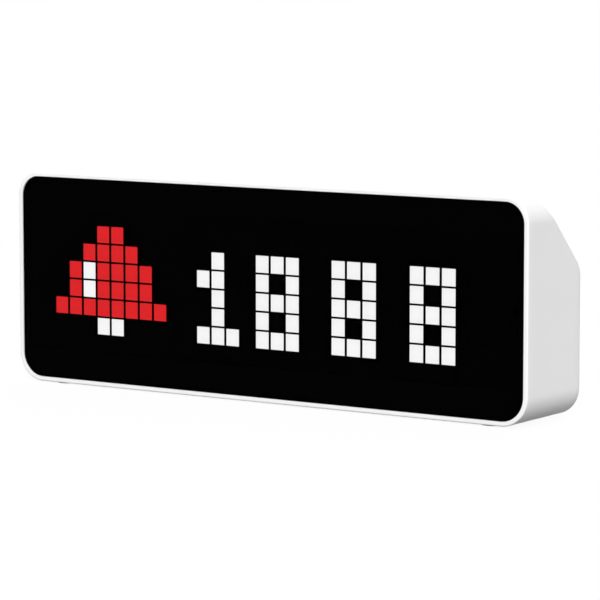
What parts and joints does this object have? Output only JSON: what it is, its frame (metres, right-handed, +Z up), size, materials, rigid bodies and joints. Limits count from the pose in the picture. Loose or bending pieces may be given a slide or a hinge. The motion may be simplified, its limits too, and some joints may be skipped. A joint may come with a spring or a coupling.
{
  "type": "pixel clock",
  "caption": "White desk clock with a grid of square light pixels behind a smoked panel, slanted back, top buttons, rear power button and charging socket.",
  "frame": {"origin": "centre of the footprint, at the underside of the feet", "axes": "+X to the right seen from the front, -Y towards the viewer, +Z up"},
  "size_m": [0.2, 0.0318, 0.0721],
  "materials": {
    "white_plastic": "satin moulded",
    "smoked_panel": "gloss",
    "black_plastic": "matte",
    "unlit_window": "satin",
    "white_window": "lit",
    "red_window": "lit",
    "matrix_board": "solder mask",
    "main_board": "solder mask",
    "led": "gloss",
    "steel": "bright",
    "chip": "matte",
    "cell_wrap": "gloss film",
    "red_wire": "gloss",
    "ribbon": "film",
    "foot_rubber": "matte"
  },
  "bodies": {
    "clock": {"housing": "white_plastic", "front_panel": "smoked_panel", "panel_tape": "black_plastic", "light_grid": "black_plastic", "unlit_windows": "unlit_window", "white_windows": "white_window", "red_windows": "red_window", "led_board": "matrix_board", "matrix_leds": "led", "light_sensor": "chip", "display_screws": "steel", "button_switches": "steel", "power_switch": "steel", "main_board": "main_board", "main_screws": "steel", "radio_module": "matrix_board", "radio_shield": "steel", "buzzer": "chip", "clock_chip": "chip", "charger_chip": "chip", "serial_chip": "chip", "climate_sensor": "chip", "usb_shell": "steel", "usb_tongue": "chip", "left_cell": "cell_wrap", "right_cell": "cell_wrap", "cell_link": "steel", "battery_tray": "black_plastic", "battery_straps": "black_plastic", "tray_screws": "steel", "battery_plug": "ribbon", "red_wire": "red_wire", "black_wire": "black_plastic", "display_ribbon": "ribbon", "ribbon_sockets": "chip", "feet": "foot_rubber"},
    "left_key": {"left_button": "white_plastic", "left_plunger": "chip"},
    "select_key": {"select_button": "white_plastic", "select_plunger": "chip"},
    "right_key": {"right_button": "white_plastic", "right_plunger": "chip"},
    "power_key": {"power_button": "white_plastic", "power_plunger": "chip"}
  },
  "joints": [
    {"name": "left_press", "type": "slide", "parent": "clock", "child": "left_key", "axis": [0, 0, -1], "range_m": [0, 0.0005], "stiffness_N_per_m": 800, "springref_m": -0.0005},
    {"name": "select_press", "type": "slide", "parent": "clock", "child": "select_key", "axis": [0, 0, -1], "range_m": [0, 0.0005], "stiffness_N_per_m": 800, "springref_m": -0.0005},
    {"name": "right_press", "type": "slide", "parent": "clock", "child": "right_key", "axis": [0, 0, -1], "range_m": [0, 0.0005], "stiffness_N_per_m": 800, "springref_m": -0.0005},
    {"name": "power_press", "type": "slide", "parent": "clock", "child": "power_key", "axis": [0, -1, 0], "range_m": [0, 0.0005], "stiffness_N_per_m": 800, "springref_m": -0.0005}
  ]
}
